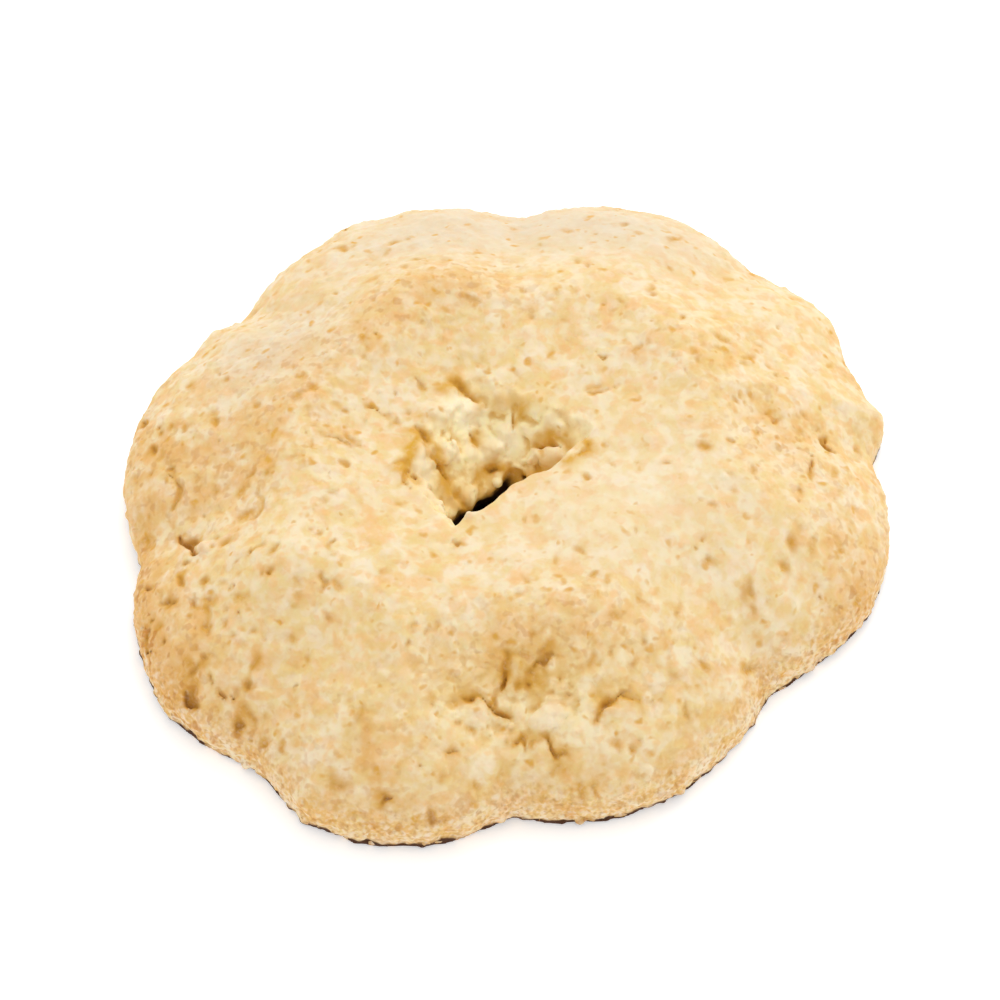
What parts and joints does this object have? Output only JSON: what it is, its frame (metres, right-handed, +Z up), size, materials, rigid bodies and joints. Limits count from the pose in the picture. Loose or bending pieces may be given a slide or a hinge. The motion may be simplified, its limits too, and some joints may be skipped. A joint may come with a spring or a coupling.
{
  "type": "biscuit",
  "caption": "Round pale baked biscuit with a scalloped edge, a raised ring and a torn dent with a narrow slot through its middle.",
  "frame": {"origin": "middle of the flat underside, under the middle of the bounding box", "axes": "+Z up out of the top; +X to the right and +Y away from the viewer as the picture shows it"},
  "size_m": [0.0684, 0.0662, 0.0139],
  "materials": {
    "baked_dough": "matt, dry and porous pale crust, browned a little on the ridges and round the edge"
  },
  "bodies": {
    "root": {"biscuit": "baked_dough"}
  },
  "joints": []
}
